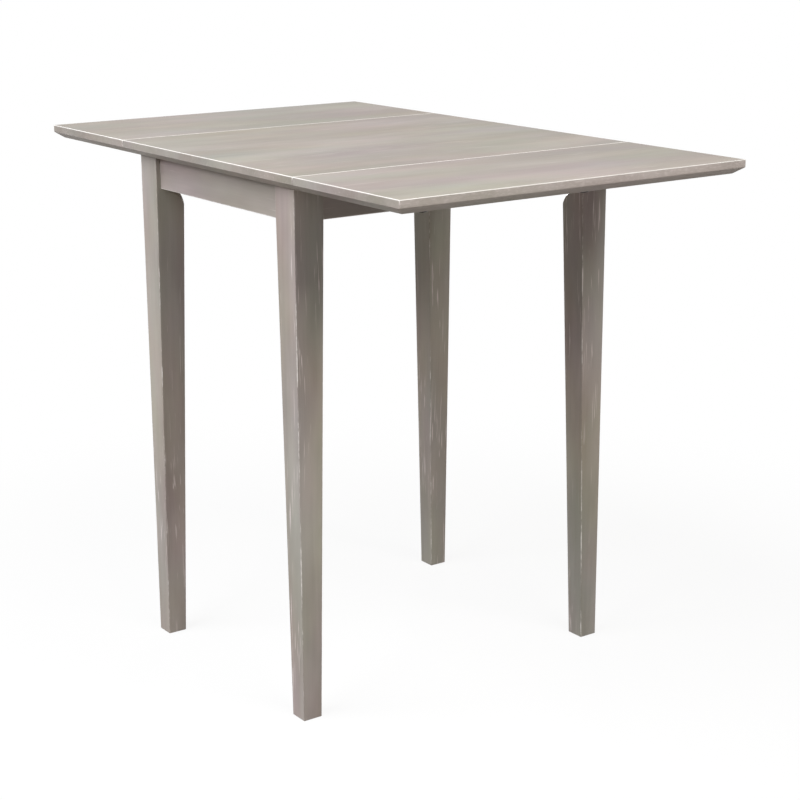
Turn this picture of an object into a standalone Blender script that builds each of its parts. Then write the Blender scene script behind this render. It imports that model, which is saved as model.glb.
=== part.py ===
# Drop-leaf dining table: a centre board on four bolted legs, with two hinged leaves on steel stays.
# Metres, +Z up. The origin is on the floor under the middle of the table.
# X runs along the hinges, and the front of the table is towards -Y. The leaves are up at rest.

import cmath
import math

import bmesh
import bpy
from mathutils import Matrix, Vector

# Table top
TOP_LENGTH = 0.5588
CENTRE_WIDTH = 0.4572
LEAF_WIDTH = 0.2286
TOP_THICKNESS = 0.0190
TABLE_HEIGHT = 0.7493
EDGE_BAND = 0.0103
UNDERCUT = 0.0120
JOINT_GAP = 0.0006
ARRIS = 0.0010

# Legs and aprons
LEG_TOP = 0.0445
LEG_FOOT = 0.0286
LEG_INSET_END = 0.0164
LEG_INSET_SIDE = 0.0236
LEG_CORNER_CUT = 0.0184
LEG_SHOULDER_DROP = 0.0035
LEG_SHOULDER_ROUND = 0.0280
APRON_HEIGHT = 0.0450
APRON_THICKNESS = 0.0190
APRON_RECESS = 0.0065

# Corner blocks and their fasteners
BLOCK_THICKNESS = 0.0200
BLOCK_HEIGHT = 0.0360
BLOCK_LEG_GAP = 0.0030
BOLT_DIAMETER = 0.0060
BOLT_BITE = 0.0220
BOLT_TAIL = 0.0040
BOLT_POINT = 0.0020
NUT_ACROSS_FLATS = 0.0100
NUT_HEIGHT = 0.0060
NUT_FLANGE_DIAMETER = 0.0160
NUT_FLANGE_THICKNESS = 0.0016
SCREW_DIAMETER = 0.0044
SCREW_CORE_DIAMETER = 0.0034
SCREW_BITE = 0.0110
SCREW_HEAD_DIAMETER = 0.0090
SCREW_HEAD_HEIGHT = 0.0026
SCREW_OFFSET = 0.0125

# Hinges
HINGE_LENGTH = 0.0380
HINGE_FROM_END = 0.0844
HINGE_PLATE_THICKNESS = 0.0016
HINGE_PLATE_SINK = 0.0001
CENTRE_PLATE_WIDTH = 0.0220
LEAF_PLATE_WIDTH = 0.0400
HINGE_PIN_DIAMETER = 0.0025
HINGE_PIN_HEAD_DIAMETER = 0.0042
HINGE_PIN_HEAD_HEIGHT = 0.0010
KNUCKLE_WALL = 0.0012
MIDDLE_KNUCKLE_LENGTH = 0.0180
PLATE_HOLE_DIAMETER = 0.0044
PLATE_HOLE_MARGIN = 0.0065

# Leaf stays
STAY_FROM_HINGE = 0.0600
STAY_PIVOT_OUT = 0.0175
STAY_PIVOT_RISE = 0.0143
STAY_REACH = 0.0450
STAY_GUIDE_DROP = 0.0140
STAY_PLATE_THICKNESS = 0.0020
STAY_FLANGE_WIDTH = 0.0200
STAY_FLANGE_DROP = 0.0040
STAY_FLANGE_RISE = 0.0085
STAY_EAR_RADIUS = 0.0065
STAY_SLOT_MARGIN = 0.0055
STAY_ARM_WIDTH = 0.0130
STAY_ARM_THICKNESS = 0.0025
STAY_PIN_DIAMETER = 0.0050
STAY_PIN_HEAD_DIAMETER = 0.0088
STAY_PIN_HEAD_HEIGHT = 0.0016

# Clearances
SEAT_GAP = 0.0003
RUNNING_GAP = 0.00025
SLOT_GAP = 0.0004
CUT_OVERRUN = 0.0100

# Facets of round forms
PIN_SIDES = 16
HOLE_SIDES = 12
ARC_STEPS = 8
SLOT_STEPS = 18
FACET_START = 0.25
SMOOTH_ANGLE = math.radians(35)

LEAF_TRAVEL = math.pi / 2

# Places worked out from the sizes above
UNDERSIDE = TABLE_HEIGHT - TOP_THICKNESS
JOINT = CENTRE_WIDTH / 2
LEG_X = TOP_LENGTH / 2 - LEG_INSET_END
LEG_Y = JOINT - LEG_INSET_SIDE
APRON_TOP = UNDERSIDE - SEAT_GAP
APRON_BOTTOM = APRON_TOP - APRON_HEIGHT
APRON_SETBACK = APRON_RECESS + APRON_THICKNESS

LEG_DIAGONAL = math.sqrt(2) * LEG_TOP
LEG_FLAT = LEG_DIAGONAL - LEG_CORNER_CUT
LEG_SHOULDER = APRON_BOTTOM - LEG_SHOULDER_DROP
BLOCK_NEAR = LEG_FLAT + BLOCK_LEG_GAP
BLOCK_FAR = BLOCK_NEAR + BLOCK_THICKNESS
BLOCK_BOTTOM = APRON_TOP - BLOCK_HEIGHT
BOLT_Z = APRON_TOP - BLOCK_HEIGHT / 2
NUT_START = BLOCK_FAR + SEAT_GAP
NUT_END = NUT_START + NUT_FLANGE_THICKNESS + NUT_HEIGHT

KNUCKLE_RADIUS = HINGE_PIN_DIAMETER / 2 + RUNNING_GAP + KNUCKLE_WALL
KNUCKLE_RELIEF = KNUCKLE_RADIUS + SEAT_GAP
AXIS_DROP = KNUCKLE_RADIUS + SEAT_GAP
AXIS_Z = UNDERSIDE - AXIS_DROP
HINGE_X = TOP_LENGTH / 2 - HINGE_FROM_END
STAY_X = HINGE_X - STAY_FROM_HINGE

# Across a side, u is the distance out from the hinge axis and w the distance down from it.
# A point of the stay linkage is the complex number u + w * 1j.
APRON_FACE_U = -(LEG_INSET_SIDE + APRON_RECESS)
APRON_BOTTOM_W = AXIS_Z - APRON_BOTTOM
STAY_SEAT_W = SEAT_GAP - AXIS_DROP
STAY_PIVOT = complex(APRON_FACE_U + STAY_PIVOT_OUT, APRON_BOTTOM_W - STAY_PIVOT_RISE)
STAY_GUIDE = complex(STAY_REACH, STAY_GUIDE_DROP - AXIS_DROP)
STAY_PIN_HOLE = STAY_PIN_DIAMETER / 2 + RUNNING_GAP
STAY_SLOT_HALF = STAY_PIN_DIAMETER / 2 + SLOT_GAP

# The arm turns at a constant ratio to its leaf, and the slot follows the guide pin's path under the leaf.
ARM_LENGTH = abs(STAY_GUIDE - STAY_PIVOT)
GUIDE_HANGING_U = -STAY_GUIDE.imag
GUIDE_HANGING_W = STAY_PIVOT.imag + math.sqrt(ARM_LENGTH**2 - (GUIDE_HANGING_U - STAY_PIVOT.real) ** 2)
ARM_START = cmath.phase(STAY_GUIDE - STAY_PIVOT)
ARM_END = cmath.phase(complex(GUIDE_HANGING_U, GUIDE_HANGING_W) - STAY_PIVOT)
ARM_RATIO = (ARM_END - ARM_START) / LEAF_TRAVEL

TURN_Z_TO_X = Matrix.Rotation(math.pi / 2, 4, "Y")
TURN_Z_TO_DIAGONAL = Matrix.Rotation(math.pi / 4, 4, "Z") @ TURN_Z_TO_X


def clear_scene():
    for old in list(bpy.data.objects):
        bpy.data.objects.remove(old, do_unlink=True)


def make_finish(name, colour, roughness, metallic):
    finish = bpy.data.materials.new(name)
    finish.use_nodes = True
    shader = finish.node_tree.nodes["Principled BSDF"]
    shader.inputs["Base Color"].default_value = (*colour, 1.0)
    shader.inputs["Roughness"].default_value = roughness
    shader.inputs["Metallic"].default_value = metallic
    return finish


def make_empty(name, location, turn=0.0, parent=None):
    empty = bpy.data.objects.new(name, None)
    bpy.context.scene.collection.objects.link(empty)
    empty.location = location
    empty.rotation_euler = (0.0, 0.0, turn)
    empty.parent = parent
    return empty


def make_object(name, shape, finish=None, parent=None):
    """Turns a bmesh into an object whose faces point out."""
    bmesh.ops.recalc_face_normals(shape, faces=shape.faces)
    if shape.calc_volume(signed=True) < 0:
        bmesh.ops.reverse_faces(shape, faces=shape.faces)
    mesh = bpy.data.meshes.new(name)
    shape.to_mesh(mesh)
    shape.free()
    mesh.shade_smooth()
    mesh.set_sharp_from_angle(angle=SMOOTH_ANGLE)
    if finish:
        mesh.materials.append(finish)
    made = bpy.data.objects.new(name, mesh)
    bpy.context.scene.collection.objects.link(made)
    made.parent = parent
    return made


def combine(body, operation, *shapes):
    """Joins shapes to a body, or cuts them from it, in the body's own frame, and leaves one mesh."""
    for shape in shapes:
        tool = make_object("tool", shape, parent=body.parent)
        step = body.modifiers.new("combine", "BOOLEAN")
        step.operation = operation
        step.object = tool
        bpy.context.view_layer.update()
        graph = bpy.context.evaluated_depsgraph_get()
        body.data = bpy.data.meshes.new_from_object(body.evaluated_get(graph))
        body.modifiers.remove(step)
        bpy.data.objects.remove(tool, do_unlink=True)
    body.data.set_sharp_from_angle(angle=SMOOTH_ANGLE)
    return body


def loft(rings):
    """Closed shape through rings of points, with flat ends."""
    shape = bmesh.new()
    loops = [[shape.verts.new(point) for point in ring] for ring in rings]
    for low, high in zip(loops, loops[1:]):
        for side in range(len(low)):
            shape.faces.new((low[side - 1], low[side], high[side], high[side - 1]))
    shape.faces.new(loops[0])
    shape.faces.new(loops[-1])
    return shape


def prism(outline, sweep):
    """Flat outline of points extruded along a vector."""
    shape = bmesh.new()
    face = shape.faces.new([shape.verts.new(point) for point in outline])
    swept = bmesh.ops.extrude_face_region(shape, geom=[face])
    moved = [part for part in swept["geom"] if isinstance(part, bmesh.types.BMVert)]
    bmesh.ops.translate(shape, verts=moved, vec=sweep)
    return shape


def block(low, high):
    """Box between two corners."""
    outline = rectangle(low[0], high[0], low[1], high[1], low[2])
    return prism(outline, (0.0, 0.0, high[2] - low[2]))


def rectangle(x_low, x_high, y_low, y_high, z):
    return [(x_low, y_low, z), (x_high, y_low, z), (x_high, y_high, z), (x_low, y_high, z)]


def turned(profile, sides, place=Matrix()):
    """Round shape from (radius, height) pairs about Z, moved to its place."""
    angles = [2 * math.pi * (step + FACET_START) / sides for step in range(sides)]
    rings = [[(r * math.cos(a), r * math.sin(a), h) for a in angles] for r, h in profile]
    shape = loft(rings)
    shape.transform(place)
    return shape


def rivet_profile(shank, head, head_height, length):
    """Shank of a given length between two heads with a bevelled crown."""
    rim = head_height / 2
    crown = head - rim
    return [
        (crown, -head_height),
        (head, -rim),
        (head, 0.0),
        (shank, 0.0),
        (shank, length),
        (head, length),
        (head, length + rim),
        (crown, length + head_height),
    ]


def arc(centre, radius, start, end, steps=ARC_STEPS):
    """Points of an arc in a plane, as complex numbers."""
    return [centre + cmath.rect(radius, start + (end - start) * i / steps) for i in range(steps + 1)]


def ease(shape, edges):
    bmesh.ops.bevel(shape, geom=edges, offset=ARRIS, segments=1, profile=0.5, affect="EDGES")


def edges_at_height(shape, z):
    tolerance = ARRIS / 10
    return [e for e in shape.edges if all(abs(v.co.z - z) < tolerance for v in e.verts)]


# Table top


def build_centre_top(finish):
    end = TOP_LENGTH / 2
    side = JOINT - JOINT_GAP / 2
    shape = loft(
        [
            rectangle(UNDERCUT - end, end - UNDERCUT, -side, side, UNDERSIDE),
            rectangle(-end, end, -side, side, TABLE_HEIGHT - EDGE_BAND),
            rectangle(-end, end, -side, side, TABLE_HEIGHT),
        ]
    )
    ease(shape, edges_at_height(shape, TABLE_HEIGHT))
    return make_object("centre_top", shape, finish)


def build_leaf(name, axis, finish):
    """Leaf in the frame of its hinge axis, reaching out along -Y."""
    end = TOP_LENGTH / 2
    inner = -JOINT_GAP / 2
    top = AXIS_DROP + TOP_THICKNESS
    shape = loft(
        [
            rectangle(UNDERCUT - end, end - UNDERCUT, UNDERCUT - LEAF_WIDTH, inner, AXIS_DROP),
            rectangle(-end, end, -LEAF_WIDTH, inner, top - EDGE_BAND),
            rectangle(-end, end, -LEAF_WIDTH, inner, top),
        ]
    )
    ease(shape, edges_at_height(shape, top))
    return make_object(name, shape, finish, axis)


# Legs and aprons. A leg and what bolts it on share a corner frame: its origin is under the leg's
# outer corner, and +X and +Y point in along the aprons.


def leg_square(side, z):
    return rectangle(0.0, side, 0.0, side, z)


def leg_inner_arris(z):
    """Distance of the leg's tapered inner arris from the outer corner, along the diagonal."""
    taper = (LEG_TOP - LEG_FOOT) * (APRON_BOTTOM - z) / APRON_BOTTOM
    return math.sqrt(2) * (LEG_TOP - taper)


def leg_corner_cutter():
    """Flat across the leg's inner corner, with a rounded shoulder that runs out into the arris."""
    radius = LEG_SHOULDER_ROUND
    end = LEG_SHOULDER - radius
    centre = complex(leg_inner_arris(end) + SEAT_GAP - radius, end)
    clear_x = LEG_DIAGONAL + CUT_OVERRUN
    clear_z = APRON_TOP + CUT_OVERRUN
    outline = [complex(LEG_FLAT, clear_z)]
    outline += arc(centre, radius, math.acos((LEG_FLAT - centre.real) / radius), 0.0)
    outline += [complex(clear_x, end), complex(clear_x, clear_z)]
    shape = prism([(p.real, -LEG_DIAGONAL, p.imag) for p in outline], (0.0, 2 * LEG_DIAGONAL, 0.0))
    shape.transform(Matrix.Rotation(math.pi / 4, 4, "Z"))
    return shape


def bolt_place():
    return Matrix.Translation((0.0, 0.0, BOLT_Z)) @ TURN_Z_TO_DIAGONAL


def bolt_hole(start, end):
    radius = BOLT_DIAMETER / 2 + SEAT_GAP
    return turned([(radius, start), (radius, end)], HOLE_SIDES, bolt_place())


def screw_place(lean):
    """Beside the bolt, towards the front or back apron: lean is 1 or -1, whichever way that is."""
    middle = (BLOCK_NEAR + BLOCK_FAR) / 2
    x = (middle + lean * SCREW_OFFSET) / math.sqrt(2)
    y = (middle - lean * SCREW_OFFSET) / math.sqrt(2)
    return Matrix.Translation((x, y, BLOCK_BOTTOM))


def screw_hole(lean):
    """Clearance hole through a corner block and up into the centre board."""
    radius = SCREW_DIAMETER / 2 + SEAT_GAP
    depth = UNDERSIDE - BLOCK_BOTTOM + SCREW_BITE + SEAT_GAP
    return turned([(radius, -CUT_OVERRUN), (radius, depth)], HOLE_SIDES, screw_place(lean))


def build_leg(name, corner, finish):
    rings = [leg_square(LEG_FOOT, 0.0), leg_square(LEG_TOP, APRON_BOTTOM), leg_square(LEG_TOP, APRON_TOP)]
    shape = loft(rings)
    ease(shape, edges_at_height(shape, 0.0))
    leg = make_object(name, shape, finish, corner)
    hole = bolt_hole(LEG_FLAT - BOLT_BITE - SEAT_GAP, LEG_FLAT + CUT_OVERRUN)
    return combine(leg, "DIFFERENCE", leg_corner_cutter(), hole)


def build_corner_block(name, corner, lean, finish):
    face = APRON_SETBACK + SEAT_GAP
    near = math.sqrt(2) * BLOCK_NEAR - face
    far = math.sqrt(2) * BLOCK_FAR - face
    outline = [(face, near), (near, face), (far, face), (face, far)]
    shape = prism([(x, y, BLOCK_BOTTOM) for x, y in outline], (0.0, 0.0, BLOCK_HEIGHT))
    made = make_object(name, shape, finish, corner)
    hole = bolt_hole(BLOCK_NEAR - CUT_OVERRUN, BLOCK_FAR + CUT_OVERRUN)
    return combine(made, "DIFFERENCE", hole, screw_hole(lean))


def build_hanger_bolt(name, corner, finish):
    radius = BOLT_DIAMETER / 2
    start = LEG_FLAT - BOLT_BITE
    end = NUT_END + BOLT_TAIL
    profile = [
        (radius / 2, start),
        (radius, start + BOLT_POINT),
        (radius, end - BOLT_POINT / 2),
        (radius - BOLT_POINT / 4, end),
    ]
    return make_object(name, turned(profile, PIN_SIDES, bolt_place()), finish, corner)


def build_flange_nut(name, corner, finish):
    flange = NUT_FLANGE_DIAMETER / 2
    hexagon = NUT_ACROSS_FLATS / math.sqrt(3)
    flange_end = NUT_START + NUT_FLANGE_THICKNESS
    disc = turned([(flange, NUT_START), (flange, flange_end)], 2 * HOLE_SIDES, bolt_place())
    nut = make_object(name, disc, finish, corner)
    middle = NUT_START + NUT_FLANGE_THICKNESS / 2
    combine(nut, "UNION", turned([(hexagon, middle), (hexagon, NUT_END)], 6, bolt_place()))
    return combine(nut, "DIFFERENCE", bolt_hole(NUT_START - CUT_OVERRUN, NUT_END + CUT_OVERRUN))


def build_top_screw(name, corner, lean, finish):
    """Pan-head screw: a plain shank through the block, then a thinner threaded core in the board."""
    shank = SCREW_DIAMETER / 2
    core = SCREW_CORE_DIAMETER / 2
    head = SCREW_HEAD_DIAMETER / 2
    board = APRON_TOP - BLOCK_BOTTOM
    tip = UNDERSIDE - BLOCK_BOTTOM + SCREW_BITE
    profile = [
        (head - SCREW_HEAD_HEIGHT / 2, -SEAT_GAP - SCREW_HEAD_HEIGHT),
        (head, -SEAT_GAP - SCREW_HEAD_HEIGHT / 2),
        (head, -SEAT_GAP),
        (shank, -SEAT_GAP),
        (shank, board),
        (core, board + shank),
        (core, tip - shank),
        (core / 2, tip),
    ]
    return make_object(name, turned(profile, HOLE_SIDES, screw_place(lean)), finish, corner)


def build_apron(name, low, high, finish):
    """Apron board from the legs' faces, with its two lower edges eased."""
    shape = block(low, high)
    ease(shape, edges_at_height(shape, low[2]))
    return make_object(name, shape, finish)


def build_aprons(finish):
    reach_x = LEG_X - LEG_TOP - SEAT_GAP
    reach_y = LEG_Y - LEG_TOP - SEAT_GAP
    outer_x, inner_x = LEG_X - APRON_RECESS, LEG_X - APRON_SETBACK
    outer_y, inner_y = LEG_Y - APRON_RECESS, LEG_Y - APRON_SETBACK
    build_apron("front_apron", (-reach_x, -outer_y, APRON_BOTTOM), (reach_x, -inner_y, APRON_TOP), finish)
    build_apron("back_apron", (-reach_x, inner_y, APRON_BOTTOM), (reach_x, outer_y, APRON_TOP), finish)
    build_apron("left_apron", (-outer_x, -reach_y, APRON_BOTTOM), (-inner_x, reach_y, APRON_TOP), finish)
    build_apron("right_apron", (inner_x, -reach_y, APRON_BOTTOM), (outer_x, reach_y, APRON_TOP), finish)


# Hinges, in the frame of a hinge axis: X along the pin, out along -Y, up +Z


def across(outline, x, thickness):
    """Plate square to the hinge axis, from an outline of u + w * 1j points."""
    return prism([(x, -p.real, -p.imag) for p in outline], (thickness, 0.0, 0.0))


def along_x(radius, x_start, x_end, sides, u=0.0, w=0.0):
    """Round bar along the hinge axis."""
    place = Matrix.Translation((0.0, -u, -w)) @ TURN_Z_TO_X
    return turned([(radius, x_start), (radius, x_end)], sides, place)


def upright_hole(x, u):
    """Screw hole square to a plate under the top."""
    radius = PLATE_HOLE_DIAMETER / 2
    place = Matrix.Translation((x, -u, 0.0))
    return turned([(radius, -CUT_OVERRUN), (radius, CUT_OVERRUN)], HOLE_SIDES, place)


def hinge_plate(name, x, outline, knuckles, holes, finish, parent):
    """Flat plate with its knuckles, bored for the pin."""
    top = KNUCKLE_RADIUS - HINGE_PLATE_SINK
    points = [(x + along, -u, top - HINGE_PLATE_THICKNESS) for along, u in outline]
    plate = make_object(name, prism(points, (0.0, 0.0, HINGE_PLATE_THICKNESS)), finish, parent)
    barrels = [along_x(KNUCKLE_RADIUS, x + low, x + high, PIN_SIDES) for low, high in knuckles]
    combine(plate, "UNION", *barrels)
    reach = HINGE_LENGTH / 2 + CUT_OVERRUN
    bore = along_x(HINGE_PIN_DIAMETER / 2 + RUNNING_GAP, x - reach, x + reach, HOLE_SIDES)
    return combine(plate, "DIFFERENCE", bore, *[upright_hole(x + along, u) for along, u in holes])


def build_centre_plate(name, x, finish, parent):
    half = HINGE_LENGTH / 2
    middle = MIDDLE_KNUCKLE_LENGTH / 2 + RUNNING_GAP
    outline = [
        (-half, -CENTRE_PLATE_WIDTH),
        (half, -CENTRE_PLATE_WIDTH),
        (half, 0.0),
        (middle, 0.0),
        (middle, -KNUCKLE_RELIEF),
        (-middle, -KNUCKLE_RELIEF),
        (-middle, 0.0),
        (-half, 0.0),
    ]
    hole_x = half - PLATE_HOLE_MARGIN
    hole_u = PLATE_HOLE_MARGIN - CENTRE_PLATE_WIDTH
    holes = [(-hole_x, hole_u), (hole_x, hole_u)]
    return hinge_plate(name, x, outline, [(-half, -middle), (middle, half)], holes, finish, parent)


def build_leaf_plate(name, x, finish, parent):
    half = HINGE_LENGTH / 2
    middle = MIDDLE_KNUCKLE_LENGTH / 2
    outline = [
        (-half, LEAF_PLATE_WIDTH),
        (half, LEAF_PLATE_WIDTH),
        (half, KNUCKLE_RELIEF),
        (middle, KNUCKLE_RELIEF),
        (middle, 0.0),
        (-middle, 0.0),
        (-middle, KNUCKLE_RELIEF),
        (-half, KNUCKLE_RELIEF),
    ]
    hole_x = half - PLATE_HOLE_MARGIN
    hole_u = LEAF_PLATE_WIDTH - PLATE_HOLE_MARGIN
    holes = [(-hole_x, hole_u), (hole_x, hole_u), (0.0, KNUCKLE_RELIEF + PLATE_HOLE_MARGIN)]
    return hinge_plate(name, x, outline, [(-middle, middle)], holes, finish, parent)


def build_hinge_pin(name, x, finish, parent):
    length = HINGE_LENGTH + 2 * SEAT_GAP
    profile = rivet_profile(
        HINGE_PIN_DIAMETER / 2, HINGE_PIN_HEAD_DIAMETER / 2, HINGE_PIN_HEAD_HEIGHT, length
    )
    place = Matrix.Translation((x - length / 2, 0.0, 0.0)) @ TURN_Z_TO_X
    return make_object(name, turned(profile, PIN_SIDES, place), finish, parent)


# Leaf stays, in the same frame. hand is 1 where the flanges point towards +X, and -1 where they
# point towards -X. x is the face of the bracket and the slotted plate that the arm runs beside.


def guide_in_leaf(leaf_angle):
    """Where the guide pin is under the leaf, seen from the leaf, when the leaf has dropped by an angle."""
    guide = STAY_PIVOT + cmath.rect(ARM_LENGTH, ARM_START + ARM_RATIO * leaf_angle)
    return guide * cmath.rect(1.0, -leaf_angle)


def slot_path():
    """Points of the slot's middle line, each with its unit normal away from the leaf."""
    angles = [LEAF_TRAVEL * step / SLOT_STEPS for step in range(SLOT_STEPS + 1)]
    nudge = LEAF_TRAVEL / SLOT_STEPS / 10
    path = []
    for angle in angles:
        heading = guide_in_leaf(angle + nudge) - guide_in_leaf(angle - nudge)
        path.append((guide_in_leaf(angle), heading / abs(heading) * 1j))
    return path


def slot_outline():
    path = slot_path()
    first, first_normal = path[0]
    last, last_normal = path[-1]
    start = cmath.phase(first_normal)
    end = cmath.phase(last_normal)
    outline = [point + normal * STAY_SLOT_HALF for point, normal in path]
    outline += arc(last, STAY_SLOT_HALF, end, end - math.pi)[1:]
    outline += [point - normal * STAY_SLOT_HALF for point, normal in reversed(path[:-1])]
    outline += arc(first, STAY_SLOT_HALF, start + math.pi, start)[1:-1]
    return outline


def slotted_web_outline():
    """Web that hangs from the flange and follows the slot along its lower edge."""
    path = slot_path()
    first, first_normal = path[0]
    last, last_normal = path[-1]
    radius = STAY_SLOT_HALF + STAY_SLOT_MARGIN
    outline = [complex(first.real - radius, STAY_SEAT_W)]
    outline += arc(first, radius, math.pi, cmath.phase(first_normal))
    outline += [point + normal * radius for point, normal in path[1:-1]]
    outline += arc(last, radius, cmath.phase(last_normal), 0.0)
    outline += [complex(last.real + radius, STAY_SEAT_W)]
    return outline


def build_slot_plate(name, x, hand, finish, parent):
    path = slot_path()
    radius = STAY_SLOT_HALF + STAY_SLOT_MARGIN
    u_low = path[0][0].real - radius
    u_high = path[-1][0].real + radius
    web = make_object(name, across(slotted_web_outline(), x, hand * STAY_PLATE_THICKNESS), finish, parent)
    x_low, x_high = sorted((x, x + hand * STAY_FLANGE_WIDTH))
    z_high = -STAY_SEAT_W
    flange = block((x_low, -u_high, z_high - STAY_PLATE_THICKNESS), (x_high, -u_low, z_high))
    combine(web, "UNION", flange)
    hole_x = x + hand * (STAY_FLANGE_WIDTH - PLATE_HOLE_MARGIN)
    holes = [upright_hole(hole_x, u) for u in (u_low + PLATE_HOLE_MARGIN, u_high - PLATE_HOLE_MARGIN)]
    slot = across(slot_outline(), x - hand * CUT_OVERRUN, 2 * hand * CUT_OVERRUN)
    return combine(web, "DIFFERENCE", slot, *holes)


def build_bracket(name, x, hand, finish, parent):
    """Angle on the apron's face with an ear that carries the arm."""
    u_seat = APRON_FACE_U + SEAT_GAP
    w_top = STAY_SEAT_W + STAY_FLANGE_DROP
    w_bottom = APRON_BOTTOM_W - STAY_FLANGE_RISE
    outline = [complex(u_seat, w_top)]
    outline += arc(STAY_PIVOT, STAY_EAR_RADIUS, -math.pi / 2, math.pi / 2)
    outline += [complex(u_seat, w_bottom)]
    bracket = make_object(name, across(outline, x, hand * STAY_PLATE_THICKNESS), finish, parent)
    x_low, x_high = sorted((x, x + hand * STAY_FLANGE_WIDTH))
    flange = block((x_low, -u_seat - STAY_PLATE_THICKNESS, -w_bottom), (x_high, -u_seat, -w_top))
    combine(bracket, "UNION", flange)
    pivot = along_x(
        STAY_PIN_HOLE, x - CUT_OVERRUN, x + CUT_OVERRUN, HOLE_SIDES, STAY_PIVOT.real, STAY_PIVOT.imag
    )
    return combine(bracket, "DIFFERENCE", pivot, *bracket_holes(x, hand, u_seat, w_top, w_bottom))


def bracket_holes(x, hand, u_seat, w_top, w_bottom):
    """Screw holes through the flange on the apron."""
    radius = PLATE_HOLE_DIAMETER / 2
    hole_x = x + hand * (STAY_FLANGE_WIDTH - PLATE_HOLE_MARGIN)
    holes = []
    for w in (w_top + PLATE_HOLE_MARGIN, w_bottom - PLATE_HOLE_MARGIN):
        place = Matrix.Translation((hole_x, -u_seat, -w)) @ Matrix.Rotation(math.pi / 2, 4, "X")
        holes.append(turned([(radius, -CUT_OVERRUN), (radius, CUT_OVERRUN)], HOLE_SIDES, place))
    return holes


def build_arm(name, x, hand, finish, parent):
    """Flat bar with round ends. Its parent stands on the pivot's axis."""
    radius = STAY_ARM_WIDTH / 2
    reach = STAY_GUIDE - STAY_PIVOT
    square = ARM_START + math.pi / 2
    outline = arc(0j, radius, square, square + math.pi)
    outline += arc(reach, radius, square + math.pi, square + 2 * math.pi)
    x_near = x - hand * SEAT_GAP
    arm = make_object(name, across(outline, x_near, -hand * STAY_ARM_THICKNESS), finish, parent)
    for end in (0j, reach):
        hole = along_x(STAY_PIN_HOLE, x - CUT_OVERRUN, x + CUT_OVERRUN, HOLE_SIDES, end.real, end.imag)
        combine(arm, "DIFFERENCE", hole)
    return arm


def build_stay_pin(name, x, hand, centre, finish, parent):
    """Headed pin through the arm and the plate beside it."""
    length = STAY_PLATE_THICKNESS + STAY_ARM_THICKNESS + 3 * SEAT_GAP
    profile = rivet_profile(
        STAY_PIN_DIAMETER / 2, STAY_PIN_HEAD_DIAMETER / 2, STAY_PIN_HEAD_HEIGHT, length
    )
    outer_face = x - hand * (STAY_ARM_THICKNESS + 2 * SEAT_GAP)
    start = min(outer_face, outer_face + hand * length)
    place = Matrix.Translation((start, -centre.real, -centre.imag)) @ TURN_Z_TO_X
    return make_object(name, turned(profile, PIN_SIDES, place), finish, parent)


def build_corner(name, corner, lean, wood, raw_wood, zinc):
    build_leg(name + "_leg", corner, wood)
    build_corner_block(name + "_corner_block", corner, lean, raw_wood)
    build_hanger_bolt(name + "_hanger_bolt", corner, zinc)
    build_flange_nut(name + "_flange_nut", corner, zinc)
    build_top_screw(name + "_top_screw", corner, lean, zinc)


def build_hinge(name, x, side, leaf_axis, steel):
    build_centre_plate(name + "_hinge_centre_plate", x, steel, side)
    build_leaf_plate(name + "_hinge_leaf_plate", x, steel, leaf_axis)
    build_hinge_pin(name + "_hinge_pin", x, steel, side)


def build_stay(name, x, hand, side, leaf_axis, steel):
    build_bracket(name + "_stay_bracket", x, hand, steel, side)
    build_stay_pin(name + "_stay_pivot", x, hand, STAY_PIVOT, steel, side)
    build_slot_plate(name + "_stay_slot_plate", x, hand, steel, leaf_axis)
    pivot = make_empty(name + "_arm_axis", (0.0, -STAY_PIVOT.real, -STAY_PIVOT.imag), parent=side)
    build_arm(name + "_stay_arm", x, hand, steel, pivot)
    build_stay_pin(name + "_stay_guide_pin", x, hand, STAY_GUIDE - STAY_PIVOT, steel, pivot)


def build_side(name, turn, left, right, wood, steel):
    """Leaf with its hinges and stays. left and right are the names of its two ends, seen from outside."""
    middle = Matrix.Rotation(turn, 3, "Z") @ Vector((0.0, -JOINT, AXIS_Z))
    side = make_empty(name + "_side", middle, turn)
    leaf_axis = make_empty(name + "_leaf_axis", middle, turn)
    build_leaf(name + "_leaf", leaf_axis, wood)
    for end, hand in ((left, 1), (right, -1)):
        build_hinge(f"{name}_{end}", -hand * HINGE_X, side, leaf_axis, steel)
        build_stay(f"{name}_{end}", -hand * STAY_X, hand, side, leaf_axis, steel)


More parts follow.
